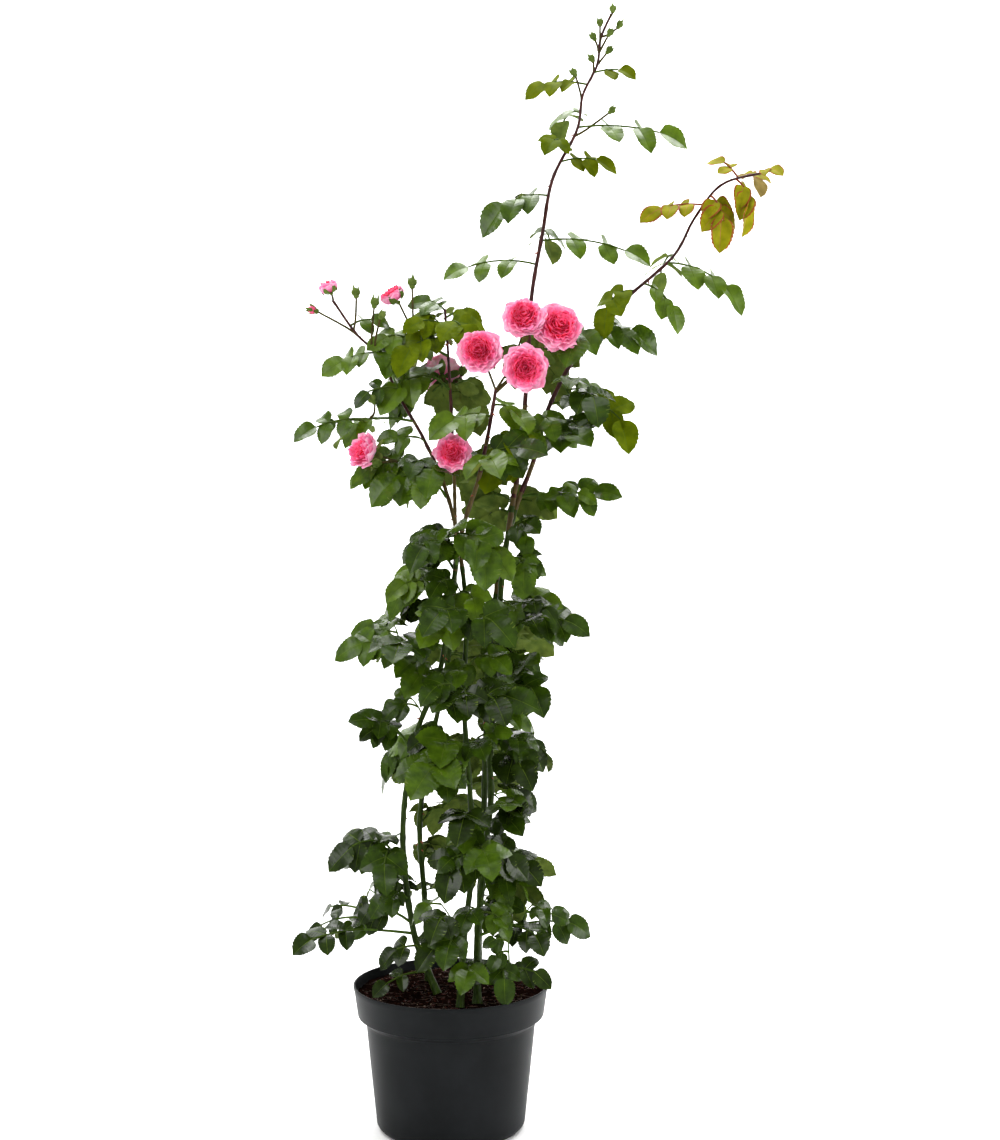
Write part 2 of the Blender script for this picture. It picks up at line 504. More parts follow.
# Side shoots: limb, height, azimuth, length, leaves, leaflet, then what differs from the rest.
SIDE_SHOOTS = {
    "low_left_spray": ("left", 256, 183, 66, 2, 30, {
        "rise": 8, "droop": 6, "stalk": 76, "pairs": 2, "habit": LEVEL_HABIT}),
    "low_left": ("left", 272, 205, 40, 2, 36, {"rise": 40, "habit": LEVEL_HABIT}),
    "low_right_spray": ("right", 262, 3, 62, 2, 32, {
        "rise": 24, "droop": 20, "stalk": 44, "habit": LEVEL_HABIT}),
    "low_front": ("front", 262, 252, 22, 2, 36, {"rise": 45}),
    "low_rim": ("right", 222, 335, 48, 2, 28, {"rise": 35, "droop": 60}),
    "lower_left": ("left", 345, 215, 45, 3, 36, {}),
    "lower_front": ("front", 350, 285, 45, 3, 38, {}),
    "lower_right": ("right", 330, 350, 22, 2, 36, {}),
    "shin_left": ("left", 500, 222, 40, 2, 38, {}),
    "shin_front": ("front", 462, 235, 40, 2, 50, {"stalk": 36, "rise": 50}),
    "shin_right": ("right", 396, 345, 28, 2, 38, {}),
    "middle_right": ("right", 480, 355, 34, 3, 42, {}),
    "middle_front": ("front", 545, 285, 45, 3, 40, {}),
    "knee_right": ("right", 562, 5, 40, 2, 44, {}),
    "tuft_left": ("left", 640, 186, 62, 3, 44, {"rise": 12, "droop": 15, "habit": LEVEL_HABIT}),
    "tuft_right": ("right", 655, 345, 50, 3, 36, {"rise": 34}),
    "waist_front": ("front", 650, 262, 50, 3, 42, {}),
    "broad_left": ("left", 726, 190, 30, 2, 52, {"stalk": 46, "rise": 12}),
    "broad_front": ("left", 748, 275, 50, 3, 46, {"stalk": 36}),
    "chest_right": ("right", 740, 350, 22, 2, 40, {}),
    "arm_right": ("back", 842, 352, 40, 2, 38, {"rise": 8, "stalk": 50, "habit": LEVEL_HABIT}),
    "shoulder_left": ("front", 838, 195, 26, 2, 42, {}),
    "shoulder_front": ("left", 872, 285, 20, 2, 46, {}),
    "neck_front": ("right", 880, 300, 22, 2, 44, {}),
    "neck_right": ("back", 905, 320, 16, 2, 46, {}),
    "branch_right": ("back", 965, 350, 34, 3, 42, {"rise": 10, "stalk": 62}),
    "fan_right": ("back", 1046, 300, 18, 2, 42, {}),
    "collar_left": ("rear", 985, 205, 26, 2, 46, {"rise": 45}),
    "bloom_left": ("front", 884, 200, 55, 2, 36, {"rise": 5, "droop": 10, "habit": LEVEL_HABIT, "flowers": [
        ("bloom", (-113, -28, 897), 216, 14, 26, 0.55), ("bud", (-96, -40, 880), 230, -10, 8.5, 0)]}),
    "arm_left": ("front", 940, 182, 62, 2, 34, {"rise": 12, "stalk": 60, "habit": LEVEL_HABIT, "flowers": [
        ("bud", (-104, -18, 966), 200, 50, 8.5, 0)]}),
    "bloom_front": ("front", 862, 262, 24, 2, 38, {"flowers": [
        ("bloom", (4, -66, 892), 258, 12, 26, 0.8)]}),
    "bloom_upper_left": ("rear", 1030, 185, 52, 2, 36, {"rise": 30, "flowers": [
        ("bloom", (-78, 14, 1108), 195, 50, 19, 0.4), ("bud", (-52, 4, 1124), 90, 75, 9, 0)]}),
    "bloom_back": ("rear", 965, 95, 34, 2, 42, {"flowers": [
        ("bloom", (-16, 92, 1012), 95, 20, 30, 1), ("bud", (14, 80, 1016), 60, 60, 8.5, 0)]}),
    "bloom_back_right": ("right", 1010, 80, 30, 2, 42, {"flowers": [
        ("bloom", (122, 78, 1056), 70, 25, 29, 1)]}),
}
for limb_name, outward_azimuth, low, high, count in (("back", 62, 300, 800, 4), ("rear", 122, 330, 880, 5)):
    for i in range(count):
        azimuth = outward_azimuth + (42 if i % 2 else -42)
        height = low + (high - low) * i / (count - 1)
        SIDE_SHOOTS[f"far_{limb_name}_{i + 1}"] = (limb_name, height, azimuth, 26, 2, 44, {})


def seeded(seed):
    """A repeatable run of numbers from 0 to 1."""
    while True:
        seed = (seed * 1664525 + 1013904223) % 2**32
        yield seed / 2**32


def between(random, low, high):
    """The next of a run of numbers, from low to high."""
    return low + (high - low) * next(random)


def unit(vector):
    return vector / np.linalg.norm(vector)


def heading(azimuth, rise):
    """Azimuth 0 is the +X side and 90 the back; rise is the angle above the level."""
    turn, climb = math.radians(azimuth), math.radians(rise)
    return np.array([math.cos(climb) * math.cos(turn), math.cos(climb) * math.sin(turn), math.sin(climb)])


def spun(vector, axis, degrees):
    """The vector turned about an axis that is square to it."""
    turn = math.radians(degrees)
    return vector * math.cos(turn) + np.cross(axis, vector) * math.sin(turn)


def drooping_line(base, azimuth, rise, droop, length, steps=8):
    """A shoot or stalk that sets out at its rise and bends down by its droop on the way."""
    steps_taken = [heading(azimuth, rise - droop * (i + 0.5) / steps) * length / steps for i in range(steps)]
    return np.concatenate([[base], base + np.cumsum(steps_taken, axis=0)])


def place_on(line, share):
    """The place at a share from 0 to 1 of a line."""
    place = min(share, 0.9999) * (len(line) - 1)
    row = int(place)
    return line[row] + (line[row + 1] - line[row]) * (place - row)


def place_at_height(limb, height):
    """Where a limb is at a height, which way it heads there and how thick it is."""
    points, _, foot, tip = LIMBS[limb]
    share = np.linspace(0, 1, 2 * len(points) - 1)
    line = on_curve(points, share)
    above = max(int(np.argmax(line[:, 2] >= height)), 1)
    part = (height - line[above - 1, 2]) / (line[above, 2] - line[above - 1, 2])
    spot = line[above - 1] + (line[above] - line[above - 1]) * part
    return spot, unit(line[above] - line[above - 1]), foot + (tip - foot) * share[above]


def across_leaf(azimuth, face, roll):
    """The way across a leaf whose upper side is rolled towards the azimuth that it faces."""
    turn = roll * math.sin(math.radians(face - azimuth))
    return spun(heading(azimuth + 90, 0), heading(azimuth, 0), -turn)


def lit_blade(out, across, face, azimuth):
    """The way across a blade that turns about its midrib to show its upper side to the light."""
    upper, light = np.cross(out, across), heading(face, LIGHT_RISE) + OUTWARD * heading(azimuth, 0)
    turn = math.degrees(math.atan2(np.cross(upper, light) @ out, upper @ light))
    return spun(across, out, min(max(turn, -BLADE_TURN), BLADE_TURN))


def compound_leaf(base, azimuth, rise, droop, stalk, leaflet, pairs, face, roll, seed):
    """A leaf's stalk and its leaflets: where each starts, its ways out and across, its length."""
    random, finer = seeded(seed), seeded(seed + FINER_SEED)
    line = drooping_line(base, azimuth, rise, droop, stalk * STALK_FULLNESS)
    sideways = across_leaf(azimuth, face, roll)
    length = leaflet * FULLNESS
    leaflets = []
    for side in (-1, 1):
        rows = [[between(random, *row) for row in SIDE_DRAWS] for _ in range(pairs)]
        places = PAIRS_AT
        if pairs == 1 and leaflet >= FIVE_FROM:
            rows.insert(0, [between(finer, *row) for row in SIDE_DRAWS])
            rows[0][3] *= LOWER_PAIR_SIZE
        elif pairs == 1:
            places = LONE_PAIR_AT
        for place, (spread, hang, twist, size) in zip(places, rows):
            spread, hang = math.radians(spread), math.radians(hang)
            along = heading(azimuth, rise - droop * place)
            down = np.cross(sideways, along)
            aside = sideways * side * math.cos(hang) + down * math.sin(hang)
            out = unit(along * math.cos(spread) + aside * math.sin(spread))
            forward = spun(unit(along - out * (along @ out)), out, twist)
            across = lit_blade(out, -side * forward, face, azimuth)
            leaflets.append((place_on(line, place), out, across, length * SIDE_SHARE * size))
    turn = azimuth + between(random, *END_TURN)
    out = heading(turn, rise - droop - between(random, *END_DROP))
    across = across_leaf(turn, face, roll)
    across = spun(unit(across - out * (across @ out)), out, between(random, *END_TWIST))
    leaflets.append((line[-1], out, lit_blade(out, across, face, azimuth), length))
    return line, leaflets


# What leaves keep clear of: the pot, the limbs, each other's blades and, on side shoots, the blooms.
def coarse(points, faces):
    """A tree that finds what overlaps this body."""
    return BVHTree.FromPolygons([tuple(point) for point in points], [tuple(map(int, face)) for face in faces])


LIMB_CLEARANCE = 0.6
COMPOST_STAND_IN = [(POT_RIM - 8, POT_HEIGHT - 4), (AXIS, POT_HEIGHT - 4)]
pot_outside = [(AXIS, 0), (FOOT_RADIUS, 0), (BODY_TOP_RADIUS, BODY_TOP), (COLLAR_FOOT_RADIUS, COLLAR_FOOT)]
pot_outside += [(POT_RIM, POT_HEIGHT), *COMPOST_STAND_IN]
obstacles = [coarse(*skin(turned(pot_outside, 32)))]
for points, _, foot, tip in LIMBS.values():
    shares = np.linspace(0, 1, 4 * len(points))
    radii = foot + (tip - foot) * shares + LIMB_CLEARANCE
    obstacles.append(coarse(*tube(on_curve(points, shares), radii, 6)))
flowers = []  # kind, place, azimuth, rise, size, how far open, where its stalk starts
for mass, (limb, _, rows) in TIP_MASSES.items():
    flowers += [(kind, *row, place_at_height(limb, z)[0]) for kind, z, *row in rows]

blades = []  # the lowest and highest corner of each leaf, and its blades
BLADE_FROM, BLADE_WIDEST, BLADE_TO, BLADE_HALF, BLADE_HANG = 0.14, 0.42, 0.9, 0.28, 0.1


def blades_of(leaflets):
    """A leaf's lowest and highest corner, and its blades as plain four-cornered plates."""
    points, faces = [], []
    for start, out, across, length in leaflets:
        middle = start + out * BLADE_WIDEST * length
        end = start + out * BLADE_TO * length - UP * BLADE_HANG * length
        half = across * BLADE_HALF * length
        first = len(points)
        points += [start + out * BLADE_FROM * length, middle - half, end, middle + half]
        faces += [(first, first + 1, first + 2), (first, first + 2, first + 3)]
    corners = np.array(points)
    return corners.min(0), corners.max(0), coarse(points, faces)


def grown(limits, base, azimuth, *row):
    """A leaf with room: it turns aside from what it meets, and is left out if that fails."""
    for turn in TURNS:
        line, leaflets = compound_leaf(base, azimuth + turn, *row)
        low, high, tree = blades_of(leaflets)
        if (low < limits[0]).any() or (high > limits[1]).any() or any(tree.overlap(o) for o in obstacles):
            continue
        near = (other for lower, upper, other in blades if (lower < high).all() and (upper > low).all())
        if not any(tree.overlap(other) for other in near):
            blades.append((low, high, tree))
            return [(line, leaflets)]
    return []


# How far a leaf may pass the box of its mass, low on the canes and above this height.
OPEN_FROM, SLACK, OPEN_SLACK = 850, (6, 6, 45), (10, 10, 18)


class Spray:
    """A mass of foliage: the limb it grows on, the leaves and the lines of shoots in it."""

    def __init__(self, name, limb):
        self.name, self.limb, self.shoots, self.leaves = name, limb, [], []
        low, high = (np.array(corner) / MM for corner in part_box(name))
        slack = np.array(SLACK if high[2] < OPEN_FROM else OPEN_SLACK)
        self.limits = low - slack, high + slack


sprays, side_sprays = [], []
for i, (name, (limb, rows, _)) in enumerate(TIP_MASSES.items()):
    spray = Spray(name, limb)
    for n, (z, azimuth, *row) in enumerate(rows):
        start = place_at_height(limb, z)[0]
        spray.leaves += grown(spray.limits, start, azimuth, *row, FRONT, TIP_ROLL, TIP_SEED + 20 * i + n)
    sprays.append(spray)

STALK_SHARE = 0.95  # of the leaflet's length
BACK_SHARE = 0.3  # a shoot that heads this much to the back turns its leaves that way
FORK = 0.9  # where a shoot forks, and where a flower's stalk leaves it
FIRST_LEAF, LEAF_SPAN, LAST_LEAF = 0.3, 0.6, 0.97
SHOOT_RADII, TWIG_RADII = (2.2, 1.5), (1.3, 0.9)
for i, (name, row) in enumerate(SIDE_SHOOTS.items()):
    limb, height, azimuth, length, leaf_count, leaflet, extra = row
    random = seeded(i + 1)
    spot, along, thick = place_at_height(limb, height)
    outward = heading(azimuth, 0)
    outward = unit(outward - along * (outward @ along))
    start = spot + outward * (thick + CLEAR)
    rise, droop = extra.get("rise", SHOOT_RISE), extra.get("droop", SHOOT_DROOP)
    line = drooping_line(start, azimuth, rise, droop, length)
    spray = Spray(name, limb)
    spray.shoots.append((np.concatenate([[spot], line]), *SHOOT_RADII))
    habit, stalk = extra.get("habit", HABIT), extra.get("stalk", leaflet * STALK_SHARE)
    face = BEHIND if outward[1] > BACK_SHARE else FRONT
    flowers += [(*row, place_on(line, FORK)) for row in extra.get("flowers", ())]
    rows = []
    for n in range(leaf_count):
        is_last = n == leaf_count - 1
        splay = (1 if n % 2 else -1) * between(random, *SPLAY)
        size = between(random, *SIZES)
        rise, droop, roll = (between(random, *limits) for limits in (*habit, ROLL))
        base = place_on(line, LAST_LEAF if is_last else FIRST_LEAF + LEAF_SPAN * (n + 1) / leaf_count)
        rows.append((base, azimuth + (0 if is_last else splay), rise, droop, stalk * size, leaflet * size,
                     extra.get("pairs", 1), face, roll, SIDE_SEED + 10 * i + n))
    sprays.append(spray)
    side_sprays.append((i, spray, line, azimuth, leaflet, stalk, habit, face, rows))

BLOOM_CLEARANCE = 75  # no leaf hangs this close before a bloom
BLOOM_BALL, BALL_SHARE = [(0.02, -0.9), (0.7, -0.6), (1, 0), (0.7, 0.6), (0.02, 0.9)], 0.86
MIDDLE_DEPTH = 30  # blooms nearer than this look to the front, the others to the back
for kind, place, azimuth, rise, size, open_share, start in flowers:
    if kind == "bloom":
        ball, outward = turned(BLOOM_BALL, 12) * size * BALL_SHARE, place[1] - MIDDLE_DEPTH
        ball[..., 1] += np.where(ball[..., 1] * outward > 0, math.copysign(BLOOM_CLEARANCE, outward), 0)
        obstacles.append(coarse(*skin(ball + np.array(place))))
for _, spray, *_, rows in side_sprays:
    for row in rows:
        spray.leaves += grown(spray.limits, *row)

# Finer twigs: each side shoot forks, its limb bears short spurs above and below it, and all
# of them bear leaves in their turn. In the open crown there is one spur to a shoot; low on
# the canes there are two, and four where the shoot heads to the back.
CROWN_FROM, CROWN_SPURS, BACK_SPURS, FRONT_SPURS = 800, (28,), (-60, -30, 30, 60), (-46, 46)
SPURS_FROM, SPURS_TO = 200, 1060
TWIG_TURN, TWIG_HABIT = (25, 85), ((-25, 80), (10, 40), (18, 48))  # rise, droop, length
TWIG_LEAVES, TWIG_SPLAY, TWIG_SIZES, TWIG_STALK = (0.5, 0.98), (50, 85), (0.62, 0.92), 0.8
for i, spray, line, azimuth, leaflet, stalk, habit, face, _ in side_sprays:
    random = seeded(TWIG_SEED + i)
    height = line[0][2]
    spurs = CROWN_SPURS if height > CROWN_FROM else BACK_SPURS if face == BEHIND else FRONT_SPURS
    heights = [height + spur for spur in spurs if SPURS_FROM < height + spur < SPURS_TO]
    bases = [place_on(line, FORK)] + [place_at_height(spray.limb, z)[0] for z in heights]
    for n, base in enumerate(bases):
        way = azimuth + (1 if n % 2 else -1) * between(random, *TWIG_TURN)
        twig = drooping_line(base, way, *(between(random, *limits) for limits in TWIG_HABIT))
        leaves = []
        for k, place in enumerate(TWIG_LEAVES):
            splay = 0 if k else (1 if next(random) > 0.5 else -1) * between(random, *TWIG_SPLAY)
            size = between(random, *TWIG_SIZES)
            rise, droop, roll = (between(random, *limits) for limits in (*habit, ROLL))
            row = (way + splay, rise, droop, stalk * size * TWIG_STALK, leaflet * size, 1, face, roll,
                   TWIG_SEED + 100 * i + 10 * n + k)
            leaves += grown(spray.limits, place_on(twig, place), *row)
        if leaves:
            spray.shoots.append((twig, *TWIG_RADII))
            spray.leaves += leaves

# ---------------------------------------------------------------- foliage
# Rose leaflets are egg-shaped and finely toothed, a little folded at the midrib, puckered
# between the side veins and bent down at the tip. Each blade is a closed body half a
# millimetre thick, and each mass of foliage shares its limb's piece.

ROWS, TOOTH = 21, 0.07
OLD_COLUMNS = np.array([-1, -0.55, -0.02, 0.02, 0.55, 1])
YOUNG_COLUMNS = np.array([-1, -0.84, -0.5, -0.02, 0.02, 0.5, 0.84, 1])
BLADE_THICKNESS = 0.5
HALF_WIDTH, CUP, ARCH, SWEEP, TIP_DROP = (0.36, 0.42), (0.02, 0.12), (0.01, 0.08), (-0.06, 0.06), (0.06, 0.2)
FOLD = (4, 26)  # degrees that each half of a blade rises from the midrib
RIB_HALF, PUCKER, WAVE = 0.015, 0.007, 0.03  # of the blade's length
VEINS, VEIN_LEAN, WAVES_ALONG = 7.5, 2.2, 1.4
OUTLINE = ((0, 0.05, 0.13, 0.25, 0.38, 0.52, 0.66, 0.78, 0.88, 0.95, 1),
           (0.02, 0.46, 0.78, 0.97, 1.02, 1.0, 0.91, 0.74, 0.5, 0.2, 0.02))  # a blade's width along it


def leaflet_grids(leaflets, columns, seed):
    """Points of blades, row by row from base to tip, for (start, out, across, length)."""
    draw = np.random.default_rng(seed)
    start, out, across = (np.array([leaflet[k] for leaflet in leaflets])[:, None, None] for k in range(3))
    length = np.array([leaflet[3] for leaflet in leaflets])[:, None, None]

    def drawn(low, high):
        return draw.uniform(low, high, length.shape)

    u = np.linspace(0, 1, ROWS)[:, None]
    spread, side = np.abs(columns), np.sign(columns) * (np.abs(columns) > 0.1)
    outline = np.interp(u, *OUTLINE)
    half = length * drawn(*HALF_WIDTH) * outline
    rib = np.minimum(RIB_HALF * length * (1 - 0.75 * u), 0.4 * half)
    tooth = (np.arange(ROWS) % 2)[:, None] * (spread == 1) * np.minimum(5 * (1 - u), 1)
    x = np.where(side == 0, np.sign(columns) * rib, side * (rib + (half - rib) * spread))
    x = x * (1 + TOOTH * tooth)
    y = length * (u + 0.03 * tooth - 0.03 * spread**2 * outline)
    lift = np.abs(x) * np.sin(np.radians(drawn(*FOLD))) - drawn(*CUP) * x**2 / half.max()
    veins = np.cos(2 * math.pi * (VEINS * u - VEIN_LEAN * spread))
    lift += PUCKER * length * veins * np.abs(side) * outline
    wave = np.sin(2 * math.pi * (WAVES_ALONG * u + drawn(0, 1)) + side)
    lift += WAVE * length * wave * spread**2 * outline
    lift += length * drawn(*ARCH) * np.sin(math.pi * u)
    x = x + length * drawn(*SWEEP) * u**2
    drop = length * drawn(*TIP_DROP) * u**2
    bend = out * y[..., None] + across * x[..., None] + np.cross(out, across) * lift[..., None]
    return start + bend - UP * (drop + 0 * x)[..., None]


def closed_sheets(grids, thickness):
    """Thin closed bodies from grids of points: two skins that share their outermost points."""
    count, rows, columns, _ = grids.shape
    normal = np.cross(np.gradient(grids, axis=1), np.gradient(grids, axis=2)) + 1e-9
    normal *= thickness / 2 / np.linalg.norm(normal, axis=-1, keepdims=True)
    inner = np.s_[:, 1:-1, 1:-1]
    upper_points, lower_points = grids.copy(), grids[inner] - normal[inner]
    upper_points[inner] += normal[inner]
    upper = np.arange(rows * columns).reshape(rows, columns)
    lower = upper.copy()
    lower[1:-1, 1:-1] = rows * columns + np.arange((rows - 2) * (columns - 2)).reshape(rows - 2, -1)
    points = np.concatenate([upper_points.reshape(count, -1, 3), lower_points.reshape(count, -1, 3)], axis=1)
    faces = np.concatenate([
        np.stack([ids[:-1, :-1], ids[1:, :-1], ids[1:, 1:], ids[:-1, 1:]], axis=-1).reshape(-1, 4)[:, ::way]
        for ids, way in ((upper, 1), (lower, -1))])
    faces = faces[None] + (np.arange(count) * points.shape[1])[:, None, None]
    return points.reshape(-1, 3), faces.reshape(-1, 4)


def add_sheets(heap, grids, thickness, finishes):
    """Adds thin closed bodies to a heap, each with these material numbers."""
    heap.add(*closed_sheets(grids, thickness), np.tile(finishes, len(grids)))


# The upper faces of old leaves by age, dark and waxy to fresh and soft, then of young ones,
# all with soft mottling. Midribs and undersides are paler; a young leaf's margin is red-brown.
WAXY_BELOW, WAXY, SOFT = 0.35, 0.26, 0.02  # roughness of a waxy leaf, and what each mirrors


def leaf_material(name, dark, light, roughness, relief=0.25):
    """A leaf's or a stalk's finish between its dark and its light colour."""
    gloss = WAXY if roughness < WAXY_BELOW else SOFT
    material, _ = mottled(name, 14, 5, [(0.3, dark), (0.7, light)],
                          Roughness=roughness, IOR=1.45, Specular_IOR_Level=gloss)
    place = add(material, "TexCoord", {}).outputs["Object"]
    grain = add(material, "TexVoronoi", {"Vector": place, "Scale": per_metre(1.6)})
    add(material, "Bump", {"Height": grain, "Strength": relief, "Distance": 0.25 * MM}, "Normal")
    return material


leaf_materials = [leaf_material(*row) for row in (
    ("grey_green_leaf_underside", "#435421", "#61702f", 0.6, 0.4),
    ("pale_leaf_midrib", "#3a4c12", "#52661e", 0.45),
    ("darkest_glossy_leaf", "#142004", "#253607", 0.24),
    ("dark_glossy_leaf", "#1d2d06", "#324909", 0.25),
    ("dark_green_leaf", "#2b4007", "#47610d", 0.27),
    ("mid_green_leaf", "#3a5007", "#57720f", 0.3),
    ("fresh_green_leaf", "#425204", "#5d6c06", 0.46),
    ("bright_green_leaf", "#4c5805", "#66720a", 0.48),
    ("olive_young_leaf", "#6e6e0c", "#928e16", 0.45),
    ("red_brown_leaf_margin", "#7a3d1e", "#9a5a26", 0.4),
    ("bronze_leaf_underside", "#7a6a3a", "#a08c50", 0.55, 0.4),
    ("red_leaf_midrib", "#8a4a30", "#a86a44", 0.45),
)]
UNDERSIDE, RIB, DARKEST, YOUNG, MARGIN, YOUNG_UNDERSIDE, YOUNG_RIB = 0, 1, 2, 8, 9, 10, 11
AGE_FROM, AGE_SPAN, AGE_TONES, TONE_DRAW = 250, 1000, 3, (-0.5, 2.3)  # leaves are fresher higher up
YOUNG_MASS, YOUNG_FROM = "tip_right", 1225
STALK_RADII, STALK_SIDE = (1.6, 1.25), (0.2, 0.3, 0.93)
MARGIN_SUM = 1.6  # the columns on both sides of a margin's strip add up to more than this


def strips(columns, upper, rib, margin, underside):
    """Material numbers of one blade's faces: its upper strips, then the underside."""
    sums = np.abs(columns[:-1] + columns[1:])
    row = [margin if total > MARGIN_SUM else upper for total in sums]
    row[len(row) // 2] = rib
    return np.array(row * (ROWS - 1) + [underside] * len(row) * (ROWS - 1))


foliage = {limb: Heap() for limb in LIMBS}
stalks = Heap()
rng = np.random.default_rng(5)
for number, spray in enumerate(sprays):
    for line, radius, tip_radius in spray.shoots:
        stalks.add(*tube(line, np.linspace(radius, tip_radius, len(line)), 8, STALK_SIDE), 0)
    for n, (line, leaflets) in enumerate(spray.leaves):
        height = line[0][2]
        age = np.clip((height - AGE_FROM) / AGE_SPAN, 0, 1) * AGE_TONES + rng.uniform(*TONE_DRAW)
        tone = int(np.clip(DARKEST + age, DARKEST, YOUNG - 1))
        young = spray.name == YOUNG_MASS and height > YOUNG_FROM
        columns = YOUNG_COLUMNS if young else OLD_COLUMNS
        tones = (YOUNG, YOUNG_RIB, MARGIN, YOUNG_UNDERSIDE) if young else (tone, RIB, tone, UNDERSIDE)
        grids = leaflet_grids(leaflets, columns, 100 * number + n)
        add_sheets(foliage[spray.limb], grids, BLADE_THICKNESS, strips(columns, *tones))
        stalks.add(*tube(line, np.linspace(*STALK_RADII, len(line)), 6, STALK_SIDE), 2 if young else 1)
for limb, heap in foliage.items():
    masses = [spray.name for spray in sprays if spray.limb == limb]
    put(f"foliage_{limb}", heap.mesh(f"foliage_{limb}"), "leaf", masses, leaf_materials)

# ---------------------------------------------------------------- twigs, stalks and prickles
# Green shoots and twigs bear the leaves' stalks; the stalks are green, and red on young
# leaves. Curved prickles sit on the canes and boughs.

PRICKLES, PRICKLE_SIZES, PRICKLE_HOOK, PRICKLE_FOOT = 70, (4, 6.5), 0.45, 0.26
PRICKLE_SHARES, PRICKLE_SUNK = (0.04, 0.94), 1
length = np.linspace(0, 1, 6)
for k in range(PRICKLES):
    points, _, foot, tip = list(LIMBS.values())[k % len(LIMBS)]
    share = rng.uniform(*PRICKLE_SHARES)
    spot, ahead = on_curve(points, [share, share + 0.01])
    side = heading(rng.uniform(0, 360), 0)
    along = unit(ahead - spot)
    side = unit(side - along * (side @ along))
    size = rng.uniform(*PRICKLE_SIZES)
    bark = foot + (tip - foot) * share - PRICKLE_SUNK
    line = [spot + side * (bark + size * t) - along * size * PRICKLE_HOOK * t**2 for t in length]
    stalks.add(*tube(line, size * PRICKLE_FOOT * (1 - 0.97 * length) ** 0.8, 6, along), 3)

# Young green bark and leaf stalks are soft and semi-gloss; prickles are red-brown horn.
green_stalk = leaf_material("green_twig_bark", "#33491a", "#4f6628", 0.45)
leaf_stalk = leaf_material("green_leaf_stalk", "#2e4012", "#485a22", 0.45)
red_stalk = leaf_material("red_leaf_stalk", "#6a2f22", "#8a4a34", 0.45)
horn = leaf_material("red_brown_prickle", "#6b3324", "#a0604a", 0.4)
put("twigs_and_stalks", stalks.mesh("twigs_and_stalks"), "bough", [spray.name for spray in sprays],
    [green_stalk, leaf_stalk, red_stalk, horn])

# ---------------------------------------------------------------- blooms
# Full double roses: five rings of broad cupped petals that overlap, and within them a spiral
# of small upright petals that crowds the heart. Green sepals and a hip carry each of them.
# Shapes are in shares of the flower's radius.

PETAL_THICKNESS = 0.55
PETAL_RINGS = (  # number, half width in degrees, the middle and the end of the petal's curve
    (5, 50, (0.78, -0.40), (1.00, 0.02)),
    (6, 45, (0.72, -0.30), (0.97, 0.16)),
    (7, 40, (0.64, -0.20), (0.88, 0.27)),
    (8, 35, (0.56, -0.12), (0.76, 0.34)),
    (8, 33, (0.47, -0.04), (0.62, 0.38)),
)
PETAL_FOOT, PETAL_SIZES, PETAL_NOTCH, PETAL_CURL = (0.08, -0.42), (0.84, 1.08), 0.09, (0.02, 0.24)
RING_TURN, PETAL_SHIFT = 0.55, (-0.17, 0.17)
HEART_PETALS, HEART_HEIGHTS, HEART_WIDTHS = 54, (0.48, 0.7), (0.12, 0.2)
GOLDEN_TURN, FIFTH_TURN = 2.4, 1.257
HALF_OPEN = 0.5
u = np.linspace(0, 1, 9)[:, None]
v = np.linspace(-1, 1, 9)[None, :]


def pulled(points, t):
    """Places at shares t of the curve from the first point to the last, pulled to the second."""
    return points[0] * (1 - t) ** 2 + 2 * points[1] * t * (1 - t) + points[2] * t**2


def petal(turn, half_width, middle, end, open_share, draw):
    """A petal's grid in shares of the bloom's radius; turn is its place round the axis."""
    rounding = 1 - 0.24 * np.abs(v) ** 2.4 - PETAL_NOTCH * np.exp(-((v / 0.2) ** 2))
    reach = u * rounding * draw.uniform(*PETAL_SIZES)
    middle = np.array(middle) * [1.12 - 0.12 * open_share, 1]
    end = np.array(end) * [0.86 + 0.14 * open_share, 1] + [0, 0.55 * (1 - open_share)]
    radius, height = (pulled(points, reach) for points in zip(PETAL_FOOT, middle, end))
    radius = radius * (1 + 0.05 * v) + 0.06 * np.sin(7 * v + draw.uniform(*ANY_TURN)) * u**3
    height = height + 0.09 * np.sin(6 * v + draw.uniform(*ANY_TURN)) * u**2 - draw.uniform(*PETAL_CURL) * u**5
    return around(radius, turn + math.radians(half_width) * v * (0.5 + 0.5 * u**0.6), height)


def heart_petal(order, spin, open_share, draw):
    """One of the small petals that crowd the heart, by its place in their spiral."""
    rows, across = u[:-2] / u[-3], v[:, :-2] / v[0, -3]
    foot = 0.03 + 0.38 * math.sqrt((order + 0.5) / HEART_PETALS)
    half_turn = min(draw.uniform(*HEART_WIDTHS) / foot, 1.6)
    height = -0.16 + rows * draw.uniform(*HEART_HEIGHTS) - 0.3 * foot * rows - 0.1 * across**2 * rows
    height = height + 0.04 * np.sin(5 * across + draw.uniform(*ANY_TURN)) * rows
    radius = foot * (0.6 + 0.4 * open_share) + (0.03 + 0.3 * foot) * rows**1.6 - 0.07 * across**2 * rows
    radius = radius + 0.035 * np.sin(4 * across + draw.uniform(*ANY_TURN)) * rows
    return around(radius, spin + GOLDEN_TURN * order + half_turn * across, height)


def set_facing(shape, place, azimuth, rise, size):
    """Turns a form whose own axis is +Z to the way a flower faces, and puts it there."""
    facing = heading(azimuth, rise)
    level = heading(azimuth + 90, 0)
    turned_to_it = np.array([level, np.cross(facing, level), facing])
    return np.array(place) + size * (np.array(shape) @ turned_to_it)


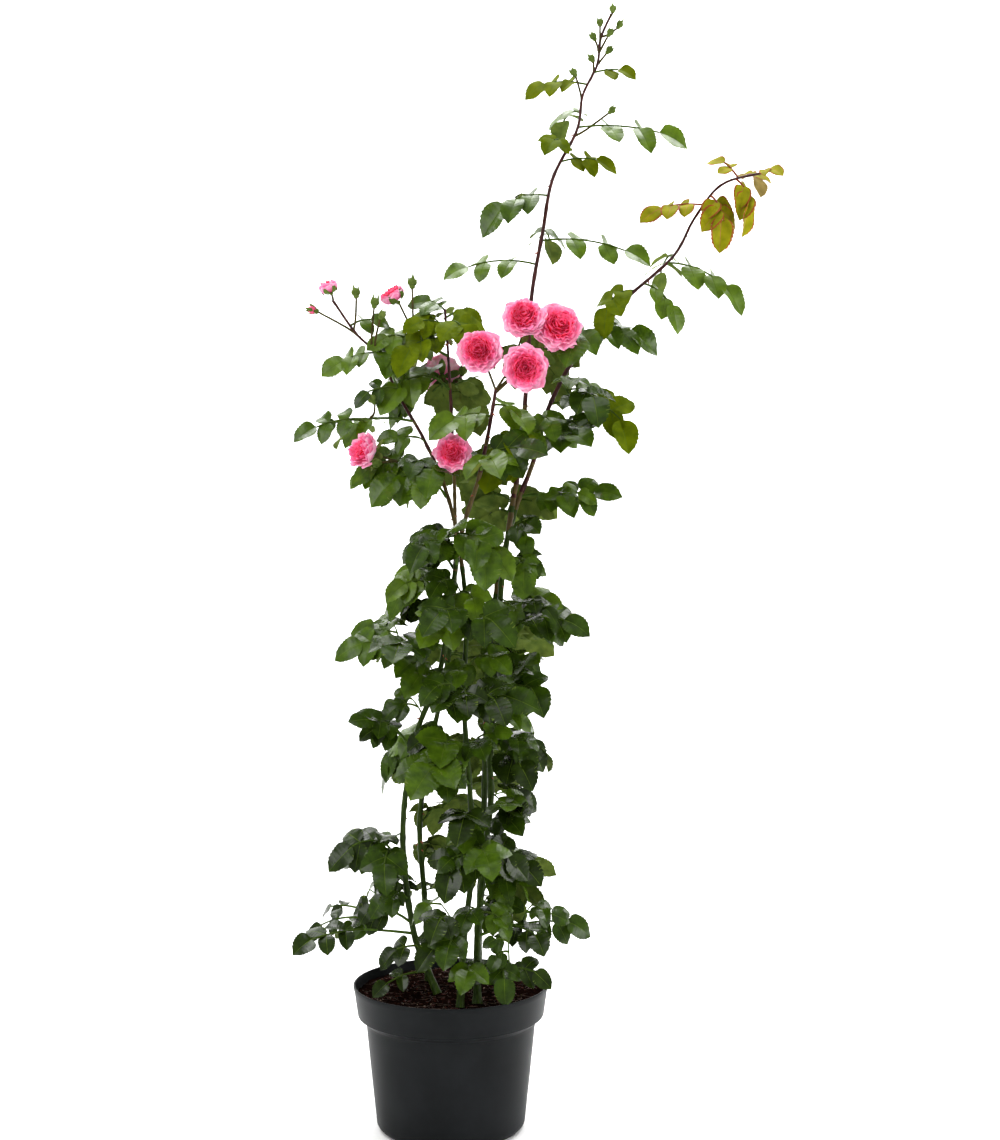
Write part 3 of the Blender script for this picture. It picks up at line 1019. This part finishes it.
SEPAL_ROWS, SEPAL_COLUMNS = np.linspace(0, 1, 8)[:, None], np.linspace(-1, 1, 5)[None, :]
SEPAL_THICKNESS, SEPAL_FLARE = 0.5, 0.05
OPEN_SEPAL = (0.1, 0.45, 0.85), (-0.46, -0.62, -0.62)  # radius and height: foot, pull, tip
CLOSED_SEPAL = (0.1, 1.05, 0.72), (-0.5, -0.62, 0.3)


def sepal(turn, radii, heights, flare):
    """A pointed sepal along a curve of radius and height, wrapped round the axis."""
    s = SEPAL_ROWS
    radius, height = (pulled(points, s) for points in (radii, heights))
    width = 0.03 + 0.62 * (1 - s) ** 0.8 * (0.35 + s) ** 0.3
    return around(radius + flare * s**3, turn + SEPAL_COLUMNS * width, height)


HIP = [(0.02, -0.72), (0.1, -0.7), (0.17, -0.62), (0.18, -0.54), (0.13, -0.46), (0.08, -0.42), (0.02, -0.4)]
BUD_HIP = [(0.04, -0.95), (0.3, -0.88), (0.46, -0.7), (0.44, -0.52), (0.36, -0.42), (0.04, -0.4)]
BUD_CORE = [(0.04, -0.5), (0.46, -0.4), (0.7, -0.14), (0.74, 0.1), (0.62, 0.4), (0.38, 0.68)]
BUD_CORE += [(0.16, 0.86), (0.03, 0.94)]
FLOWER_SEED = 300
HIP_FOOT, PEDICEL_RADII, PEDICEL_BEND, PEDICEL_POINTS = -0.7, (1.7, 1.35), 0.15, 12
HEART_TONE, HEART_RIM_TONE = 5, 3
blossom, greens = Heap(), Heap()
for number, (kind, place, azimuth, rise, size, open_share, start) in enumerate(flowers):
    draw = np.random.default_rng(FLOWER_SEED + number)
    spin = draw.uniform(*ANY_TURN)
    pose = place, azimuth, rise, size
    if kind == "bloom":
        for ring, (count, *shape) in enumerate(PETAL_RINGS):
            turns = spin + ring * RING_TURN + turns_of(count)
            petals = [petal(turn + draw.uniform(*PETAL_SHIFT), *shape, open_share, draw) for turn in turns]
            tone = ring + 2 * (open_share < HALF_OPEN)
            tones = np.full((2, 8, 8), min(tone, HEART_TONE))
            tones[:, -3:] = max(tone - 1, 0)
            tones[:, -1] = max(tone - 2, 0)
            tones[:, :3] = min(tone + 1, HEART_TONE)
            add_sheets(blossom, set_facing(petals, *pose), PETAL_THICKNESS, tones.ravel())
        heart = [heart_petal(order, spin, open_share, draw) for order in range(HEART_PETALS)]
        tones = np.full((2, 6, 6), HEART_TONE)
        tones[:, -1] = HEART_RIM_TONE
        add_sheets(blossom, set_facing(heart, *pose), PETAL_THICKNESS, tones.ravel())
        curves = OPEN_SEPAL if open_share > HALF_OPEN else CLOSED_SEPAL
        hip, sepals = HIP, [sepal(spin + FIFTH_TURN * k, *curves, SEPAL_FLARE) for k in range(5)]
    else:
        greens.add(*skin(set_facing(turned(BUD_CORE, 12), *pose)), 2 if open_share else 0)
        radii = 0.4, 1.0, 0.24 + 0.4 * open_share
        hip, sepals = BUD_HIP, [
            sepal(spin + FIFTH_TURN * k, radii, (-0.5, 0.2, 1.15 + draw.uniform(-0.1, 0.25)),
                  0.1 + draw.uniform(0, 0.3)) for k in range(5)]
    greens.add(*closed_sheets(set_facing(sepals, *pose), SEPAL_THICKNESS), 0)
    greens.add(*skin(set_facing(turned(hip, 12), *pose)), 0)
    foot = np.array(place) + heading(azimuth, rise) * size * HIP_FOOT
    bend = (foot + start) / 2 - heading(azimuth, rise) * PEDICEL_BEND * np.linalg.norm(foot - start)
    line = on_curve([start, bend, foot], np.linspace(0, 1, PEDICEL_POINTS))
    greens.add(*tube(line, np.linspace(*PEDICEL_RADII, PEDICEL_POINTS), 8, (0.31, 0.52, 0.8)), 1)


# Petals are matt and translucent: blush at the rims of the outer rings, warm pink within and
# coral at the heart. All glow a little with the light that comes through them.
GLOW = 0.03


def petal_material(name, dark, light, glow=GLOW):
    """A petal's finish between its dark and its light colour."""
    return mottled(name, 9, 3, [(0.35, dark), (0.65, light)], Roughness=0.62, Specular_IOR_Level=0.2,
                   Subsurface_Weight=0.15, Subsurface_Scale=3 * MM, Subsurface_Radius=(1, 0.3, 0.35),
                   Emission_Color=linear(light), Emission_Strength=glow)[0]


flowering = [mass for mass, (*_, rows) in TIP_MASSES.items() if rows]
flowering += [mass for mass, (*_, extra) in SIDE_SHOOTS.items() if "flowers" in extra]
put("blooms", blossom.mesh("blooms"), "bloom", flowering, [petal_material(*row) for row in (
    ("blush_outer_petal", "#fb9cc4", "#ffcae0"),
    ("pale_pink_petal", "#f880b0", "#ff9ec6"),
    ("pink_petal", "#f5649c", "#fc88b6"),
    ("warm_pink_petal", "#f4487c", "#fb6c98"),
    ("coral_pink_petal", "#ee2450", "#f84c74"),
    ("coral_heart_petal", "#dc0a30", "#f22c4a"),
)])
put("buds_and_pedicels", greens.mesh("buds_and_pedicels"), "bough", flowering, [
    leaf_material("green_sepal", "#415420", "#66783a", 0.5),
    leaf_material("bronze_flower_stalk", "#33301a", "#4c4526", 0.5),
    petal_material("pink_bud_petal", "#d9416f", "#ec6a92", 0),
])

# ---------------------------------------------------------------- studio
# A white paper sweep on the floor and up behind the plant, soft lights from the left front,
# from above and on the paper, a tall one on the right that draws the pot's edge, and a camera
# at the height of the plant's middle.

SWEEP_HALF, SWEEP_FRONT, BEND_FROM, BEND, SWEEP_TOP = 5, -4, 1.6, 1.4, 5
sweep_profile = [(SWEEP_FRONT, 0), (BEND_FROM, 0)]
sweep_profile += arc((BEND_FROM, BEND), BEND, 0.1 - math.pi / 2, 0, 14)
sweep_profile += [(BEND_FROM + BEND, SWEEP_TOP)]
sweep_mesh = bpy.data.meshes.new("paper_sweep")
sweep_mesh.from_pydata([(x, y, z) for y, z in sweep_profile for x in (-SWEEP_HALF, SWEEP_HALF)], [],
                       [(2 * k, 2 * k + 1, 2 * k + 3, 2 * k + 2) for k in range(len(sweep_profile) - 1)])
sweep_mesh.shade_smooth()
paper, _ = mottled("white_background_paper", 3, 2, [(0.3, "#fbfbfb"), (0.7, "#ffffff")], Roughness=0.95)
sweep_mesh.materials.append(paper)
placed("paper_sweep", sweep_mesh)

for name, size, watts, location, aim in (
    ("key_softbox", (1.6, 2.0), 52, (-1.7, -2.0, 2.3), (0, 0, 0.7)),
    ("side_strip", (0.5, 2.2), 28, (1.9, -0.5, 0.9), (0, 0, 0.6)),
    ("top_softbox", (2.2, 1.6), 34, (0.1, 0.3, 3.1), (0, 0, 0.6)),
    ("background_wash", (5.0, 1.5), 260, (0, 1.1, 3.6), (0, 3, 0.6)),
):
    light = bpy.data.lights.new(name, "AREA")
    light.shape, light.size, light.size_y, light.energy = "RECTANGLE", *size, watts
    lamp = placed(name, light)
    lamp.location = location
    lamp.rotation_euler = (Vector(aim) - Vector(location)).to_track_quat("-Z", "Y").to_euler()

DAYLIGHT, DAYLIGHT_STRENGTH = (1, 0.985, 0.95, 1), 0.42
world = bpy.data.worlds.new("soft_daylight")
world.use_nodes = True
background = world.node_tree.nodes["Background"].inputs
background["Color"].default_value, background["Strength"].default_value = DAYLIGHT, DAYLIGHT_STRENGTH
bpy.context.scene.world = world
bpy.context.scene.view_settings.view_transform = "Standard"

CAMERA_AT, LENS, SENSOR = (0.0654, -2.066, 0.740), 48.87, 36
camera = placed("camera", bpy.data.cameras.new("camera"))
camera.location, camera.rotation_euler = CAMERA_AT, (math.pi / 2, 0, 0)
camera.data.lens, camera.data.sensor_width = LENS, SENSOR
bpy.context.scene.camera = camera
